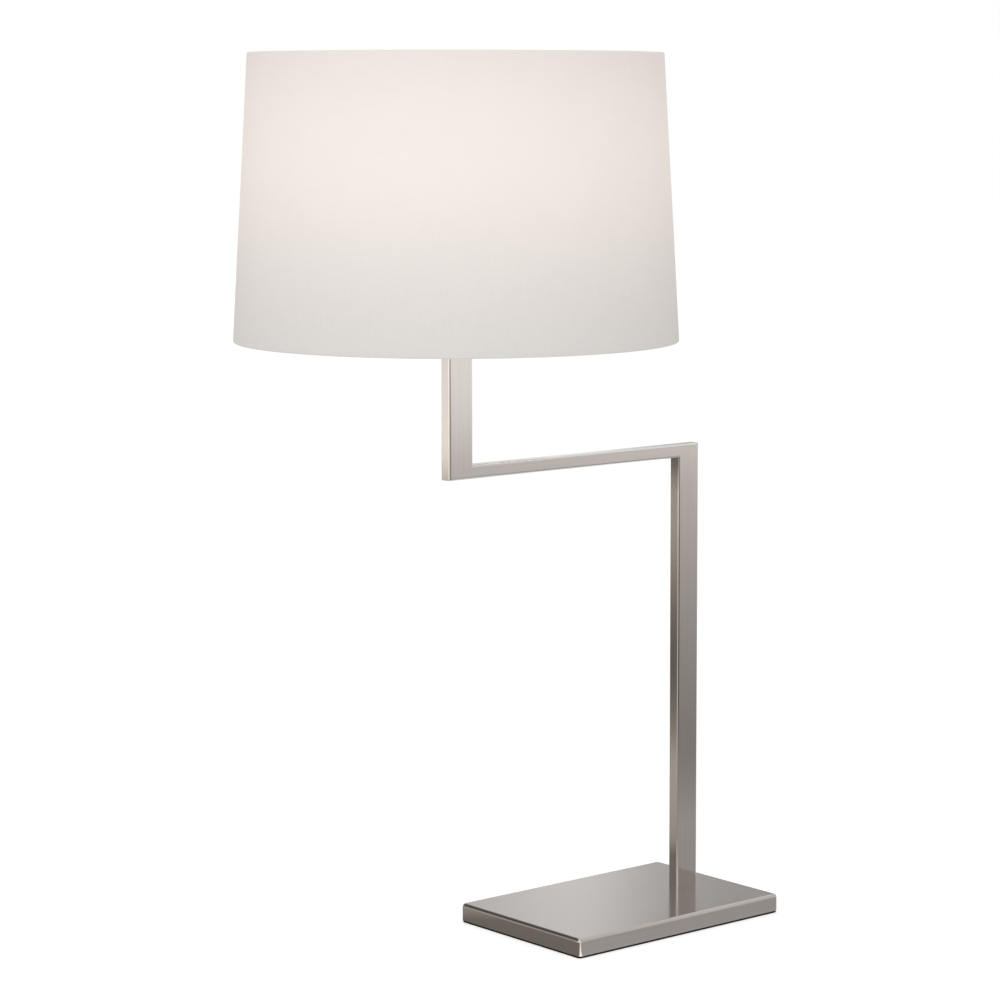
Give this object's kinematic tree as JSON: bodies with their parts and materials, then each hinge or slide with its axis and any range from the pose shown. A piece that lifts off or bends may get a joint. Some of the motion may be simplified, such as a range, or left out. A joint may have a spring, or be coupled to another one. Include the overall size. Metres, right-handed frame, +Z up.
{
  "type": "table lamp",
  "caption": "Table lamp with a flat rectangular base, an offset Z-shaped flat-tube stem, a round linen shade on a harp, and a screw-in bulb.",
  "frame": {"origin": "on the surface that the lamp stands on, under the centre of its rectangular base", "axes": "+X along the base's long side from the shade's end towards the column, +Y towards the side where the cord comes in, +Z up"},
  "size_m": [0.5254, 0.399, 0.8193],
  "materials": {
    "satin_nickel": "warm satin nickel plate",
    "cast_iron": "rough grey casting",
    "zinc_sheet": "zinc-plated sheet",
    "zinc_screw": "bright zinc plate",
    "black_felt": "dense black felt",
    "black_nylon": "moulded nylon",
    "grey_nylon": "moulded crimp caps",
    "clear_gold_pvc": "soft sheath",
    "brass": "drawn brass",
    "bright_nickel": "bright nickel plate",
    "fibre_sleeve": "pressed fibre board",
    "black_phenolic": "moulded phenolic",
    "frosted_glass": "white frosted glass",
    "clear_glass": "clear glass",
    "aluminium_cap": "rolled thin sheet",
    "black_glass": "fused black glass",
    "solder": "dull solder",
    "linen": "plain-weave off-white linen with slubs",
    "styrene": "translucent white sheet",
    "ring_wire": "nickel-plated wire"
  },
  "bodies": {
    "stand": {"base_cover": "satin_nickel", "base_weight": "cast_iron", "base_plate": "zinc_sheet", "plate_screws": "zinc_screw", "felt_pad": "black_felt", "cord_bushing": "black_nylon", "wire_connectors": "grey_nylon", "column_plug": "brass", "column_screws": "zinc_screw", "column_washers": "zinc_screw", "riser_cap": "satin_nickel", "inner_lead": "clear_gold_pvc", "socket_nipple": "zinc_screw", "harp_saddle": "bright_nickel", "lock_washer": "zinc_screw", "socket_cap": "bright_nickel", "cap_set_screw": "zinc_screw", "socket_shell": "bright_nickel", "socket_insulator": "fibre_sleeve", "socket_body": "black_phenolic", "terminal_screws": "brass", "screw_shell": "brass", "centre_contact": "brass", "harp_wire": "bright_nickel", "harp_stud": "bright_nickel", "column_tube": "satin_nickel", "arm_tube": "satin_nickel", "riser_tube": "satin_nickel"},
    "switch": {"switch_shaft": "brass", "switch_knob": "black_phenolic"},
    "ferrule_left": {"harp_ferrule_left": "bright_nickel"},
    "ferrule_right": {"harp_ferrule_right": "bright_nickel"},
    "finial_body": {"finial": "satin_nickel"},
    "bulb": {"bulb_glass": "frosted_glass", "bulb_cap": "aluminium_cap", "bulb_insulator": "black_glass", "bulb_contact": "solder", "bulb_mount": "clear_glass"},
    "shade": {"shade_fabric": "linen", "shade_liner": "styrene", "shade_top_ring": "ring_wire", "shade_bottom_ring": "ring_wire", "shade_spider": "ring_wire"}
  },
  "joints": [
    {"name": "switch_turn", "type": "hinge", "parent": "stand", "child": "switch", "pos_m": [-0.199, -0.03, 0.638], "axis": [0, -1, 0], "continuous": true},
    {"name": "ferrule_left_slide", "type": "slide", "parent": "stand", "child": "ferrule_left", "axis": [0, 0, 1], "range_m": [0, 0.014]},
    {"name": "ferrule_right_slide", "type": "slide", "parent": "stand", "child": "ferrule_right", "axis": [0, 0, 1], "range_m": [0, 0.014]},
    {"name": "shade_turn", "type": "hinge", "parent": "stand", "child": "shade", "pos_m": [-0.199, 0, 0.8], "axis": [0, 0, 1], "continuous": true},
    {"name": "finial_turn", "type": "hinge", "parent": "stand", "child": "finial_body", "pos_m": [-0.199, 0, 0.81], "axis": [0, 0, 1], "continuous": true},
    {"name": "bulb_turn", "type": "hinge", "parent": "stand", "child": "bulb", "pos_m": [-0.199, 0, 0.66], "axis": [0, 0, 1], "continuous": true}
  ]
}
